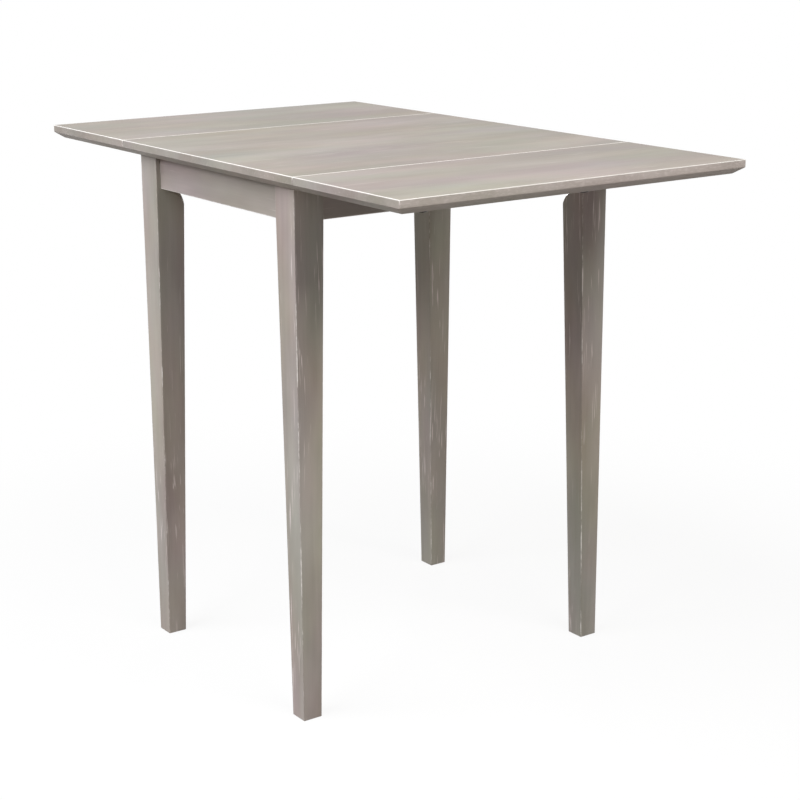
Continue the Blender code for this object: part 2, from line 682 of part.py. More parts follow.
def main():
    clear_scene()
    top_wood = make_finish("washed_top_wood", (0.47, 0.44, 0.40), 0.45, 0.0)
    leg_wood = make_finish("washed_leg_wood", (0.40, 0.36, 0.33), 0.50, 0.0)
    raw_wood = make_finish("raw_wood", (0.58, 0.45, 0.30), 0.65, 0.0)
    black_steel = make_finish("black_steel", (0.03, 0.03, 0.03), 0.45, 0.8)
    zinc_steel = make_finish("zinc_steel", (0.62, 0.62, 0.60), 0.35, 1.0)

    centre_top = build_centre_top(top_wood)
    build_aprons(leg_wood)
    corners = {
        "front_left": (-LEG_X, -LEG_Y),
        "front_right": (LEG_X, -LEG_Y),
        "back_right": (LEG_X, LEG_Y),
        "back_left": (-LEG_X, LEG_Y),
    }
    for quarter, (name, (x, y)) in enumerate(corners.items()):
        turn = quarter * math.pi / 2
        lean = 1 - 2 * (quarter % 2)
        corner = make_empty(name + "_corner", (x, y, 0.0), turn)
        build_corner(name, corner, lean, leg_wood, raw_wood, zinc_steel)
        hole = screw_hole(lean)
        hole.transform(Matrix.Translation((x, y, 0.0)) @ Matrix.Rotation(turn, 4, "Z"))
        combine(centre_top, "DIFFERENCE", hole)

    build_side("front", 0.0, "left", "right", top_wood, black_steel)
    build_side("back", math.pi, "right", "left", top_wood, black_steel)
    print("stay arm turns", ARM_RATIO, "times its leaf")
    print("hinge axis y", JOINT, "z", AXIS_Z)
    print("arm pivot y", JOINT + STAY_PIVOT.real, "z", AXIS_Z - STAY_PIVOT.imag)


main()
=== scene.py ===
import math

import bmesh
import bpy
from mathutils import Matrix, Vector


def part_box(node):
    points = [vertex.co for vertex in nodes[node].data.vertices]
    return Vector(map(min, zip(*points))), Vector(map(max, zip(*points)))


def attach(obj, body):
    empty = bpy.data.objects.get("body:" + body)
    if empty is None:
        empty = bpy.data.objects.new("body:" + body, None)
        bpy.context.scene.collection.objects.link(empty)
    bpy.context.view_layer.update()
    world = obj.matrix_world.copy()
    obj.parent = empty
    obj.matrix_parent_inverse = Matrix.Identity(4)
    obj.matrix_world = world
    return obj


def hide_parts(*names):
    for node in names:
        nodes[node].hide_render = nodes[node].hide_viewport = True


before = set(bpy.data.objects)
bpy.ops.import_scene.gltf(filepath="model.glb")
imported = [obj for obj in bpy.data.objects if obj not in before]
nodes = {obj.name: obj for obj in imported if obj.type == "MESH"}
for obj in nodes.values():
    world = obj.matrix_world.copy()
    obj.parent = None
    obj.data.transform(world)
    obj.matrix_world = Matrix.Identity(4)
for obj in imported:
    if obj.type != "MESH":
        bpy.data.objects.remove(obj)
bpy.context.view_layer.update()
print("frame loaded:", len(nodes), "nodes")


# small helpers for building node trees, most give back the socket they end on
def wire(tree, socket, value):
    if isinstance(value, bpy.types.NodeSocket):
        tree.links.new(value, socket)
    elif value is not None:
        socket.default_value = value


def doMath(tree, operation, first, second=None, clamp=False):
    node = tree.nodes.new("ShaderNodeMath")
    node.operation = operation
    node.use_clamp = clamp
    wire(tree, node.inputs[0], first)
    wire(tree, node.inputs[1], second)
    return node.outputs[0]


def mapped(tree, vector, stretch=(1, 1, 1), shift=(0, 0, 0), turn=(0, 0, 0)):
    node = tree.nodes.new("ShaderNodeMapping")
    wire(tree, node.inputs["Vector"], vector)
    node.inputs["Location"].default_value = shift
    node.inputs["Rotation"].default_value = [math.radians(a) for a in turn]
    node.inputs["Scale"].default_value = stretch
    return node.outputs[0]


noiseMiddle = 0.5  # noise swings about this value


def addNoise(tree, vector, stretch, shift=(0, 0, 0), detail=2.0, roughness=0.5, output="Fac"):
    node = tree.nodes.new("ShaderNodeTexNoise")
    wire(tree, node.inputs["Vector"], mapped(tree, vector, stretch, shift))
    node.inputs["Scale"].default_value = 1.0
    node.inputs["Detail"].default_value = detail
    node.inputs["Roughness"].default_value = roughness
    return node.outputs[output]


def fade(tree, value, low, high, toLow=0.0, toHigh=1.0):
    node = tree.nodes.new("ShaderNodeMapRange")
    node.interpolation_type = "SMOOTHSTEP"
    wire(tree, node.inputs["Value"], value)
    for label, amount in (("From Min", low), ("From Max", high), ("To Min", toLow), ("To Max", toHigh)):
        wire(tree, node.inputs[label], amount)
    return node.outputs["Result"]


def mixColour(tree, amount, first, second, blend="MIX"):
    node = tree.nodes.new("ShaderNodeMix")
    node.data_type = "RGBA"
    node.blend_type = blend
    wire(tree, node.inputs[0], amount)
    wire(tree, node.inputs[6], first)
    wire(tree, node.inputs[7], second)
    return node.outputs[2]


def newGroup(name, inputs, outputs):
    group = bpy.data.node_groups.new(name, "ShaderNodeTree")
    for label, kind in inputs:
        group.interface.new_socket(label, in_out="INPUT", socket_type="NodeSocket" + kind)
    for label, kind in outputs:
        group.interface.new_socket(label, in_out="OUTPUT", socket_type="NodeSocket" + kind)
    return group, group.nodes.new("NodeGroupInput").outputs, group.nodes.new("NodeGroupOutput").inputs


def placeGroup(tree, group, **values):
    node = tree.nodes.new("ShaderNodeGroup")
    node.node_tree = group
    for label, value in values.items():
        wire(tree, node.inputs[label], value)
    return node.outputs


def srgb(red, green, blue):
    # colour as read off a screen, 0 to 255
    parts = [c / 255 for c in (red, green, blue)]
    return [p / 12.92 if p <= 0.04045 else ((p + 0.055) / 1.055) ** 2.4 for p in parts] + [1.0]


# washed wood: the grain runs along X of the vector that comes in, in metres
grainLook = {
    "sway": {"stretch": (3.5, 9, 9), "detail": 1},
    "swayReach": 0.011,
    "cloud": {"stretch": (3.2, 11, 11), "detail": 3, "roughness": 0.55},
    "cloudFade": (0.3, 0.7),
    "cloudShare": 0.9,
    "bands": {"stretch": (1.6, 95, 95), "detail": 4, "roughness": 0.6},
    "bandsFrom": 0.25,  # lower makes the wood paler
    "fibre": {"stretch": (22, 900, 900), "roughness": 0.6},
    "fibreShare": 0.4,
    "tints": {"stretch": (4.5, 12, 12), "shift": (0.29, 0.83, 0.47), "output": "Color"},
    "streaks": {"stretch": (13, 400, 400), "shift": (0.37, 0.11, 0.23)},
    "streaksFade": (0.60, 0.68),
    "patches": {"stretch": (4.5, 34, 34), "shift": (0.71, 0.53, 0.19)},
    "patchesFade": (0.46, 0.60),
    "fibreHeight": 0.6,
    "bandsHeight": 0.4,
    "washHeight": 0.3,
    "fibreSheen": 0.5,
    "sheenFade": (0.5, 1.0, 0.46, 0.62),  # from this range of noise to this range of roughness
}


def makeWashedGrain():
    tree, given, put = newGroup(
        "washedGrain",
        [("Grain", "Vector"), ("Pale", "Color"), ("Mid", "Color"), ("Deep", "Color"),
         ("Streaks", "Float"), ("Bands", "Float"), ("Tints", "Float")],
        [("Color", "Color"), ("Height", "Float"), ("Sheen", "Float")],
    )
    look = grainLook
    # slow sway, so that no line of grain is ruler straight
    sway = doMath(tree, "SUBTRACT", addNoise(tree, given["Grain"], **look["sway"]), noiseMiddle)
    sway = doMath(tree, "MULTIPLY", sway, look["swayReach"])
    push = tree.nodes.new("ShaderNodeCombineXYZ")
    wire(tree, push.inputs["Y"], sway)
    wire(tree, push.inputs["Z"], sway)
    bent = tree.nodes.new("ShaderNodeVectorMath")
    wire(tree, bent.inputs[0], given["Grain"])
    wire(tree, bent.inputs[1], push.outputs[0])
    run = bent.outputs[0]
    cloud = addNoise(tree, run, **look["cloud"])
    bands = addNoise(tree, run, **look["bands"])
    fibre = addNoise(tree, run, **look["fibre"])
    tints = addNoise(tree, run, **look["tints"])  # a slow noise for each colour channel
    streaks = fade(tree, addNoise(tree, run, **look["streaks"]), *look["streaksFade"])
    patches = fade(tree, addNoise(tree, run, **look["patches"]), *look["patchesFade"])

    tone = doMath(tree, "MULTIPLY", fade(tree, cloud, *look["cloudFade"]), look["cloudShare"])
    lines = doMath(tree, "MULTIPLY", doMath(tree, "SUBTRACT", bands, look["bandsFrom"]), given["Bands"])
    tone = doMath(tree, "ADD", tone, lines)
    hairs = doMath(tree, "MULTIPLY", doMath(tree, "SUBTRACT", fibre, noiseMiddle), given["Bands"])
    tone = doMath(tree, "ADD", tone, doMath(tree, "MULTIPLY", hairs, look["fibreShare"]), clamp=True)
    colour = mixColour(tree, tone, given["Deep"], given["Mid"])
    colour = mixColour(tree, given["Tints"], colour, tints, "SOFT_LIGHT")

    # wash left in the open pores, in patches
    wash = doMath(tree, "MULTIPLY", doMath(tree, "MULTIPLY", streaks, patches), given["Streaks"])
    wire(tree, put["Color"], mixColour(tree, wash, colour, given["Pale"]))
    height = doMath(tree, "MULTIPLY", fibre, look["fibreHeight"])
    height = doMath(tree, "ADD", height, doMath(tree, "MULTIPLY", bands, look["bandsHeight"]))
    height = doMath(tree, "SUBTRACT", height, doMath(tree, "MULTIPLY", wash, look["washHeight"]))
    wire(tree, put["Height"], height)
    sheen = doMath(tree, "ADD", cloud, doMath(tree, "MULTIPLY", fibre, look["fibreSheen"]))
    wire(tree, put["Sheen"], fade(tree, sheen, *look["sheenFade"]))
    return tree


# pale rubbed line along the arrises, broken up where the finish held
rubLook = {
    "patches": {"stretch": (16, 60, 60), "detail": 3, "roughness": 0.6},
    "patchesShare": 0.9,
    "nicks": {"stretch": (120, 420, 420), "roughness": 0.6},
    "nicksShare": 0.5,
    "hold": 1.45,  # higher leaves more of the finish on
    "lineFade": (0.45, 0.75),
    "arrisFade": (0.72, 0.98),
    "thinByPatches": (0.3, 0.7, 0.32, 0.58),
    "thinByNicks": (0.45, 0.7, 0.0, 0.25),
    "thinByAmount": (0.2, 0.6),
    "thinByWear": (0.25, 0.5),
}


def makeRubbedArris():
    tree, given, put = newGroup(
        "rubbedArris",
        [("Grain", "Vector"), ("Wear", "Float"), ("Amount", "Float")],
        [("Mask", "Float"), ("ThinAndPaintedLight", "Float")],
    )
    look = rubLook
    patches = addNoise(tree, given["Grain"], **look["patches"])
    nicks = addNoise(tree, given["Grain"], **look["nicks"])
    broken = doMath(tree, "MULTIPLY", patches, look["patchesShare"])
    broken = doMath(tree, "ADD", broken, doMath(tree, "MULTIPLY", nicks, look["nicksShare"]))
    held = doMath(tree, "SUBTRACT", look["hold"], given["Amount"])
    reach = doMath(tree, "ADD", given["Wear"], doMath(tree, "SUBTRACT", broken, held))
    line = fade(tree, reach, *look["lineFade"])
    wire(tree, put["Mask"], doMath(tree, "MULTIPLY", line, fade(tree, given["Wear"], *look["arrisFade"])))
    # thinned, paler finish where a surface is marked as partly worn; on the boards' edge bands it is partly
    # painted light
    thin = fade(tree, patches, *look["thinByPatches"])
    thin = doMath(tree, "ADD", thin, fade(tree, nicks, *look["thinByNicks"]))
    thin = doMath(tree, "MULTIPLY", thin, fade(tree, given["Amount"], *look["thinByAmount"]))
    wire(tree, put["ThinAndPaintedLight"], doMath(tree, "MULTIPLY", thin, fade(tree, given["Wear"], *look["thinByWear"])))
    return tree


# soft blotches for paint and plating
blotchLook = {
    "large": {"stretch": (90, 90, 90), "detail": 3, "roughness": 0.6},
    "fine": {"stretch": (1400, 1400, 1400)},
    "colourFade": (0.3, 0.7),
    "fineSheen": 0.4,
    "sheenFade": (0.4, 1.0, 0.30, 0.52),
}


def makeBlotch():
    tree, given, put = newGroup(
        "blotch",
        [("Vector", "Vector"), ("Dark", "Color"), ("Light", "Color")],
        [("Color", "Color"), ("Sheen", "Float"), ("Height", "Float")],
    )
    look = blotchLook
    large = addNoise(tree, given["Vector"], **look["large"])
    fine = addNoise(tree, given["Vector"], **look["fine"])
    tone = fade(tree, large, *look["colourFade"])
    wire(tree, put["Color"], mixColour(tree, tone, given["Dark"], given["Light"]))
    sheen = doMath(tree, "ADD", large, doMath(tree, "MULTIPLY", fine, look["fineSheen"]))
    wire(tree, put["Sheen"], fade(tree, sheen, *look["sheenFade"]))
    wire(tree, put["Height"], fine)
    return tree


washedGrain = makeWashedGrain()
rubbedArris = makeRubbedArris()
blotch = makeBlotch()
print("finish groups ready")


def startMaterial(name):
    material = bpy.data.materials.new(name)
    material.use_nodes = True
    tree = material.node_tree
    place = tree.nodes.new("ShaderNodeTexCoord").outputs["Object"]
    return material, tree, tree.nodes["Principled BSDF"], place


def addBump(tree, shader, height, strength, depth):
    bump = tree.nodes.new("ShaderNodeBump")
    bump.inputs["Strength"].default_value = strength
    bump.inputs["Distance"].default_value = depth
    wire(tree, bump.inputs["Height"], height)
    wire(tree, shader.inputs["Normal"], bump.outputs[0])


def placeGrain(tree, grain, pale, finish):
    return placeGroup(tree, washedGrain, Grain=grain, Pale=pale, Mid=finish["mid"], Deep=finish["deep"],
                      Streaks=finish["streaks"], Bands=finish["bands"], Tints=finish["tints"])


# grey wash on all wood that shows, rubbed through to nearly white
washedFinish = {
    "rubbed": srgb(247, 244, 239),
    "pale": srgb(229, 219, 216),
    "bumpStrength": 0.35,
    "bumpHeight": 0.00025,
}
boardFinish = {
    "mid": srgb(166, 158, 150),
    "deep": srgb(138, 129, 120),
    "streaks": 0.22,
    "bands": 0.5,
    "tints": 0.17,
    "wear": 0.62,
}
legFinish = {
    "mid": srgb(184, 176, 167),
    "deep": srgb(150, 141, 131),
    "streaks": 0.95,
    "bands": 0.7,
    "tints": 0.24,
    "wear": 0.26,
}
railFinish = {
    "mid": srgb(183, 173, 167),
    "deep": srgb(151, 141, 135),
    "streaks": 0.3,
    "bands": 0.6,
    "tints": 0.2,
    "wear": 0.4,
}


def makeWashedWood(name, finish, turn, shift):
    material, tree, shader, place = startMaterial(name)
    grain = mapped(tree, place, shift=shift, turn=turn)
    wood = placeGrain(tree, grain, washedFinish["pale"], finish)
    worn = tree.nodes.new("ShaderNodeAttribute")
    worn.attribute_name = "wear"
    rub = placeGroup(tree, rubbedArris, Grain=grain, Wear=worn.outputs["Fac"], Amount=finish["wear"])
    # paler thinned finish, which on the board edge bands is partly painted light
    colour = mixColour(tree, rub["ThinAndPaintedLight"], wood["Color"], washedFinish["pale"])
    wire(tree, shader.inputs["Base Color"], mixColour(tree, rub["Mask"], colour, washedFinish["rubbed"]))
    wire(tree, shader.inputs["Roughness"], wood["Sheen"])
    addBump(tree, shader, wood["Height"], washedFinish["bumpStrength"], washedFinish["bumpHeight"])
    return material


# grain turns: 0 along X, a turn about Z puts it along Y, a turn about Y puts it along Z
boardWoods = {
    "centre_top": makeWashedWood("centreBoardWood", boardFinish, (0, 0, 0), (0.0, 0.0, 0.0)),
    "front_leaf": makeWashedWood("frontLeafWood", boardFinish, (0, 0, 0), (3.1, 1.7, 0.4)),
    "back_leaf": makeWashedWood("backLeafWood", boardFinish, (0, 0, 0), (6.4, 4.2, 0.9)),
}
legWood = makeWashedWood("legWood", legFinish, (0, 90, 0), (0.0, 0.0, 0.0))
longApronWood = makeWashedWood("longApronWood", railFinish, (0, 0, 0), (1.3, 2.2, 5.0))
shortApronWood = makeWashedWood("shortApronWood", railFinish, (0, 0, 90), (2.3, 0.2, 3.0))


# unfinished blocks under the top, sawn and a little fuzzy
rawFinish = {
    "pale": srgb(222, 200, 164),
    "mid": srgb(206, 178, 138),
    "deep": srgb(176, 142, 102),
    "streaks": 0.2,
    "bands": 1.0,
    "tints": 0.1,
    "closer": (1.6, 1.6, 1.6),  # finer grain than on the washed wood
    "rougher": 0.18,
    "bumpStrength": 0.5,
    "bumpHeight": 0.0004,
}


def makeRawWood(name):
    material, tree, shader, place = startMaterial(name)
    wood = placeGrain(tree, mapped(tree, place, rawFinish["closer"]), rawFinish["pale"], rawFinish)
    wire(tree, shader.inputs["Base Color"], wood["Color"])
    wire(tree, shader.inputs["Roughness"], doMath(tree, "ADD", wood["Sheen"], rawFinish["rougher"]))
    addBump(tree, shader, wood["Height"], rawFinish["bumpStrength"], rawFinish["bumpHeight"])
    return material


# black enamelled and zinc plated steel
blackFinish = {
    "dark": srgb(30, 30, 32),
    "light": srgb(46, 46, 48),
    "metallic": 0.0,
    "bumpStrength": 0.3,
    "bumpHeight": 0.00004,
}
zincFinish = {
    "dark": srgb(150, 152, 156),
    "light": srgb(196, 198, 200),
    "metallic": 1.0,
    "bumpStrength": 0.3,
    "bumpHeight": 0.00002,
}
boltThread = {"scale": 250, "turn": 45, "bumpStrength": 0.9, "bumpHeight": 0.0004}


def makeMetal(name, finish, threadTurn=None):
    material, tree, shader, place = startMaterial(name)
    skin = placeGroup(tree, blotch, Vector=place, Dark=finish["dark"], Light=finish["light"])
    shader.inputs["Metallic"].default_value = finish["metallic"]
    wire(tree, shader.inputs["Base Color"], skin["Color"])
    wire(tree, shader.inputs["Roughness"], skin["Sheen"])
    if threadTurn is None:
        addBump(tree, shader, skin["Height"], finish["bumpStrength"], finish["bumpHeight"])
    else:
        thread = tree.nodes.new("ShaderNodeTexWave")
        wire(tree, thread.inputs["Vector"], mapped(tree, place, turn=(0, 0, threadTurn)))
        thread.inputs["Scale"].default_value = boltThread["scale"]
        addBump(tree, shader, thread.outputs["Fac"], boltThread["bumpStrength"], boltThread["bumpHeight"])
    return material


rawWood = makeRawWood("rawBlockWood")
blackSteel = makeMetal("blackSteel", blackFinish)
zincSteel = makeMetal("zincSteel", zincFinish)
# the bolts lie on the two diagonals
risingThread = makeMetal("zincThreadRising", zincFinish, -boltThread["turn"])
fallingThread = makeMetal("zincThreadFalling", zincFinish, boltThread["turn"])
print("materials ready")


# modelling helpers: everything is deselected before a primitive comes in
touching = 0.0001  # a point this near to a face is on it
facing = 0.9  # a normal past this points straight along its axis


def sideOf(node, axis, sign):
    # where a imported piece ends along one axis, on its plus or its minus side
    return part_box(node)[1 if sign > 0 else 0][axis]


def startBox(name, low, high):
    bpy.ops.object.select_all(action="DESELECT")
    middle = [(a + b) / 2 for a, b in zip(low, high)]
    bpy.ops.mesh.primitive_cube_add(size=1, location=middle, scale=[b - a for a, b in zip(low, high)])
    piece = bpy.context.object
    piece.name = piece.data.name = name
    bpy.ops.object.transform_apply(location=True, rotation=True, scale=True)
    return piece


def pick(kind, test):
    # selects what passes the test in the piece that is being edited
    bpy.ops.mesh.select_mode(type=kind)
    bpy.ops.mesh.select_all(action="DESELECT")
    mesh = bmesh.from_edit_mesh(bpy.context.object.data)
    for part in {"VERT": mesh.verts, "EDGE": mesh.edges, "FACE": mesh.faces}[kind]:
        if test(part):
            part.select_set(True)
    mesh.select_flush_mode()
    bmesh.update_edit_mesh(bpy.context.object.data)


def shiftAlong(axis, distance):
    # moves what is selected along one axis
    step = [0.0, 0.0, 0.0]
    step[axis] = distance
    bpy.ops.transform.translate(value=step)


def takeAway(piece, tool):
    bpy.ops.object.select_all(action="DESELECT")
    bpy.context.view_layer.objects.active = piece
    piece.select_set(True)
    cut = piece.modifiers.new("cut", "BOOLEAN")
    cut.operation = "DIFFERENCE"
    cut.object = tool
    bpy.ops.object.modifier_apply(modifier="cut")
    bpy.data.objects.remove(tool)


def copyPiece(piece):
    copy = piece.copy()
    copy.data = piece.data.copy()
    bpy.context.scene.collection.objects.link(copy)
    return copy


easing = {
    "sharpAngle": 28,
    "segments": 3,
    "flatShare": 0.75,  # a face narrower than this share of the arris is a rounded strip
}


def isSharp(edge):
    return len(edge.link_faces) == 2 and edge.calc_face_angle() > math.radians(easing["sharpAngle"])


def easeArrises(width, fadeWidth):
    # rounds every sharp edge, then insets the flats so that the wear fades out across a narrow rim
    narrowest = easing["flatShare"] * width
    bpy.ops.object.mode_set(mode="EDIT")
    pick("EDGE", isSharp)
    bpy.ops.mesh.bevel(offset=width, segments=easing["segments"], profile=0.5, affect="EDGES",
                       clamp_overlap=True)
    pick("FACE", lambda f: f.calc_area() > narrowest * max(e.calc_length() for e in f.edges))
    bpy.ops.mesh.inset(thickness=fadeWidth, use_even_offset=True)
    bpy.ops.object.mode_set(mode="OBJECT")


def wearOnArrises(piece, flatWear):
    # the flats are still selected: full wear on the rounded strips, and what flatWear gives on each flat
    values = [1.0] * len(piece.data.vertices)
    for face in piece.data.polygons:
        if face.select:
            for corner in face.vertices:
                values[corner] = flatWear(face.normal)
    return values


def markWear(piece, values):
    piece.data.attributes.new("wear", "FLOAT", "POINT").data.foreach_set("value", values)


def dress(piece, material, slotName, body, *replaced):
    piece.data.materials.clear()
    piece.data.materials.append(material)
    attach(piece, body)
    if replaced:
        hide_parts(*replaced)


# the three boards of the top
topBoards = {
    "band": 0.0103,
    "undercut": 0.0120,
    "arris": 0.0007,
    "fade": 0.0005,
    "edgeNormals": (-0.95, 0.3),  # up and down share of the normals of band and undercut
    # paler band tone: partly thinned wash and partly painted light, with the bands along the long sides
    # painted paler than the ends
    "sideWearAndPaintedLight": 0.5,
    "endWearAndPaintedLight": 0.32,
    "lowerWear": 0.4,  # at most this much below the middle of the band
    "lowerReach": 0.006,
    "undercutWear": 0.34,  # and at most this much further down
}


# paler tone on the edge bands: partly wear and partly painted light
def boardEdgeWearAndPaintedLight(normal):
    lowest, highest = topBoards["edgeNormals"]
    if not lowest < normal.z < highest:
        return 0.0
    return topBoards["sideWearAndPaintedLight"] if abs(normal.y) > abs(normal.x) else topBoards["endWearAndPaintedLight"]


def markBoardWearAndPaintedLight(piece, bandMiddle):
    values = wearOnArrises(piece, boardEdgeWearAndPaintedLight)
    for i, vertex in enumerate(piece.data.vertices):  # hands and cloths hardly reach the lower arrises
        if vertex.co.z < bandMiddle:
            inReach = vertex.co.z > bandMiddle - topBoards["lowerReach"]
            values[i] = min(values[i], topBoards["lowerWear"] if inReach else topBoards["undercutWear"])
    markWear(piece, values)


def makeBoard(name, node, body, cutSides):
    low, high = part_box(node)
    piece = startBox(name, low, high)
    bpy.ops.object.mode_set(mode="EDIT")
    bpy.ops.mesh.select_all(action="SELECT")
    bpy.ops.mesh.bisect(plane_co=(0, 0, high.z - topBoards["band"]), plane_no=(0, 0, 1))
    for axis, sign in cutSides:
        edge = sideOf(node, axis, sign)
        pick("VERT", lambda v: v.co.z < low.z + touching and abs(v.co[axis] - edge) < touching)
        shiftAlong(axis, -sign * topBoards["undercut"])
    bpy.ops.object.mode_set(mode="OBJECT")
    easeArrises(topBoards["arris"], topBoards["fade"])
    markBoardWearAndPaintedLight(piece, high.z - topBoards["band"] / 2)
    bpy.ops.object.shade_smooth()
    dress(piece, boardWoods[node], "top_wood", body, node)


# sides that are undercut: 0 along X, 1 along Y, with the sign of the side
makeBoard("centreBoard", "centre_top", "table_frame", [(0, 1), (0, -1)])
makeBoard("frontLeafBoard", "front_leaf", "front_leaf_assembly", [(0, 1), (0, -1), (1, -1)])
makeBoard("backLeafBoard", "back_leaf", "back_leaf_assembly", [(0, 1), (0, -1), (1, 1)])
print("top boards made")


# legs: one is shaped at the front left corner, the other three are turned copies
legs = {
    "foot": 0.0286,
    "cutFlat": 0.04453,  # outer corner to the cut, along the diagonal
    "shoulderDrop": 0.0035,  # below the rails
    "shoulderRound": 0.0280,
    "shoulderSides": 96,
    "runOut": 0.0003,
    "arris": 0.0009,
    "fade": 0.0008,
    "wornWithin": 0.00099,  # a little more than the arris
    "smoothAngle": 38,
}
legCutter = {"halfWide": 0.05, "pastCorner": 0.03, "pastTop": 0.01, "roundLong": 0.2}
legPlaces = {  # sign along X, sign along Y and turn, with the shaped leg itself last
    "back_right": (1, 1, 180),
    "front_right": (1, -1, 90),
    "back_left": (-1, 1, -90),
    "front_left": (-1, -1, 0),
}
legLow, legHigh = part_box("front_left_leg")
legSquare = legHigh.x - legLow.x
railBottom = sideOf("front_apron", 2, -1)


def legWidth(z):
    # outer face to inner face, which leans below the rails
    return legSquare - (legSquare - legs["foot"]) * max(0, 1 - z / railBottom)


def makeLegCutter():
    # corner cut-away, drawn along the diagonal as X, with the leg's rounded shoulder left out of it
    span = legSquare * math.sqrt(2)
    radius = legs["shoulderRound"]
    low = railBottom - legs["shoulderDrop"] - radius
    middle = legWidth(low) * math.sqrt(2) + legs["runOut"] - radius
    half = legCutter["halfWide"]
    piece = startBox("legCutter", (legs["cutFlat"], -half, low),
                     (span + legCutter["pastCorner"], half, legHigh.z + legCutter["pastTop"]))
    bpy.ops.object.select_all(action="DESELECT")
    bpy.ops.mesh.primitive_cylinder_add(vertices=legs["shoulderSides"], radius=radius,
                                        depth=legCutter["roundLong"], location=(middle, 0, low),
                                        rotation=(math.pi / 2, 0, 0))
    shoulder = bpy.context.object
    bpy.ops.object.transform_apply(location=True, rotation=True, scale=True)
    takeAway(piece, shoulder)
    return piece


def makeLeg():
    piece = startBox("legBlank", legLow, legHigh)
    bpy.ops.object.mode_set(mode="EDIT")
    bpy.ops.mesh.select_all(action="SELECT")
    bpy.ops.mesh.bisect(plane_co=(0, 0, railBottom), plane_no=(0, 0, 1))
    for axis in (0, 1):  # only the two inner faces lean
        inner = legHigh[axis] - touching
        pick("VERT", lambda v: v.co.z < legLow.z + touching and v.co[axis] > inner)
        shiftAlong(axis, legs["foot"] - legSquare)
    bpy.ops.object.mode_set(mode="OBJECT")
    easeArrises(legs["arris"], legs["fade"])
    cutter = makeLegCutter()
    diagonal = Matrix.Rotation(math.radians(45), 4, "Z")
    cutter.data.transform(Matrix.Translation((legLow.x, legLow.y, 0)) @ diagonal)
    takeAway(piece, cutter)
    values = []
    for vertex in piece.data.vertices:  # worn where two faces are near
        across, along, z = vertex.co - legLow
        width = legWidth(z)
        near = sorted((across, along, width - across, width - along, z, legHigh.z - z))[1]
        values.append(1.0 if near < legs["wornWithin"] else 0.0)
    markWear(piece, values)
    bpy.ops.object.shade_smooth_by_angle(angle=math.radians(legs["smoothAngle"]))
    return piece


legBlank = makeLeg()
cornerX, cornerY = -legLow.x, -legLow.y
for corner, (signX, signY, turn) in legPlaces.items():
    leg = copyPiece(legBlank) if turn else legBlank
    toMiddle = Matrix.Translation((cornerX, cornerY, 0))
    toCorner = Matrix.Translation((signX * cornerX, signY * cornerY, 0))
    leg.data.transform(toCorner @ Matrix.Rotation(math.radians(turn), 4, "Z") @ toMiddle)
    leg.name = leg.data.name = corner + "_legPost"
    dress(leg, legWood, "leg_wood", "table_frame", corner + "_leg")
print("legs made")


# rails between the legs, worn along their arrises only
aprons = {"arris": 0.0008, "fade": 0.0008}
apronWoods = {
    "front": longApronWood,
    "back": longApronWood,
    "left": shortApronWood,
    "right": shortApronWood,
}
for side, wood in apronWoods.items():
    rail = startBox(side + "Rail", *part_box(side + "_apron"))
    easeArrises(aprons["arris"], aprons["fade"])
    markWear(rail, wearOnArrises(rail, lambda normal: 0.0))
    bpy.ops.object.shade_smooth()
    dress(rail, wood, "leg_wood", "table_frame", side + "_apron")
print("rails made")


# pan-head screws that hold the hinge and stay plates, one modelled and then copied
screws = {
    "sides": 24,
    "headRadius": 0.0036,
    "rim": 0.000855,
    "domeSteps": ((0.0008, 0.0006), (0.0011, 0.0004)),  # inward and upward
    "shank": 0.0019,
    "reach": 0.0013,
    "slotWide": 0.0009,
    "slotLong": 0.0038,
    "slotDeep": 0.0010,
    "slotPast": 0.0010,  # the slot's cutter stands this far out of the head
    "smoothAngle": 32,
    "spin": 37,  # each one is driven this much further round than the last
}
plateHoles = {
    "margin": 0.0065,  # edge of a plate to its holes
    "hingeFace": 0.0020,  # underside of the top to the lower face of a hinge plate
    "pinToMiddle": 0.0095,  # hinge pin to the hole that stands alone
    "slotFace": 0.0023,  # underside of the top to the lower face of a slotted plate
    "slotRows": 0.0468,
    "bracketFace": 0.0020,  # back to front of a bracket's plate
    "bracketRows": 0.0195,
}


def makeScrew():
    radius, rim = screws["headRadius"], screws["rim"]
    bpy.ops.object.select_all(action="DESELECT")
    bpy.ops.mesh.primitive_cylinder_add(vertices=screws["sides"], radius=radius, depth=rim,
                                        location=(0, 0, rim / 2))
    piece = bpy.context.object
    piece.name = piece.data.name = "plateScrew"
    bpy.ops.object.transform_apply(location=True, rotation=True, scale=True)
    bpy.ops.object.mode_set(mode="EDIT")
    pick("FACE", lambda f: f.normal.z > facing)
    for inward, upward in screws["domeSteps"]:
        bpy.ops.mesh.extrude_region_move(TRANSFORM_OT_translate={"value": (0, 0, upward)})
        bpy.ops.transform.resize(value=[1 - inward / radius] * 2 + [1])
    pick("FACE", lambda f: f.normal.z < -facing)
    bpy.ops.mesh.inset(thickness=radius - screws["shank"])
    bpy.ops.mesh.extrude_region_move(TRANSFORM_OT_translate={"value": (0, 0, -screws["reach"])})
    bpy.ops.object.mode_set(mode="OBJECT")
    top = max(v.co.z for v in piece.data.vertices)
    low, high = top - screws["slotDeep"], top + screws["slotPast"]
    long, wide = screws["slotLong"] / 2, screws["slotWide"] / 2
    for x, y in ((long, wide), (wide, long)):  # cross slot
        takeAway(piece, startBox("screwSlot", (-x, -y, low), (x, y, high)))
    bpy.ops.object.shade_smooth_by_angle(angle=math.radians(screws["smoothAngle"]))
    return piece


plateScrew = makeScrew()
placedScrews = []


